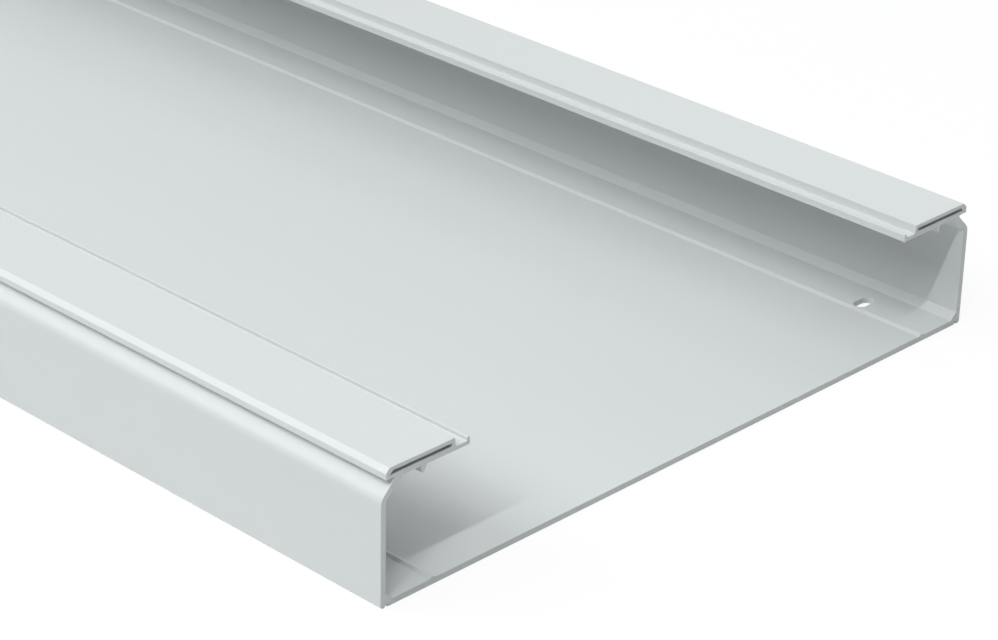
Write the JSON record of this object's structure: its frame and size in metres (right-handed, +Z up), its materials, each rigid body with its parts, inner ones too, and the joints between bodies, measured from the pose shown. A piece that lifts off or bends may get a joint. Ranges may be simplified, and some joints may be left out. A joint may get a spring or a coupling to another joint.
{
  "type": "solid-bottom cable tray",
  "caption": "Straight length of extruded plastic cable tray with a solid floor, side walls, hollow inward flanges with lips for a clip-on cover, and screw slots in the floor.",
  "frame": {"origin": "under the middle of the floor, on the plane that the tray rests on", "axes": "+X across the tray, +Y along its length, +Z up out of its open top"},
  "size_m": [0.3, 2, 0.05],
  "materials": {
    "tray_plastic": "satin light grey rigid PVC, as extruded, with plain cut ends"
  },
  "bodies": {
    "root": {"tray_profile": "tray_plastic"}
  },
  "joints": []
}
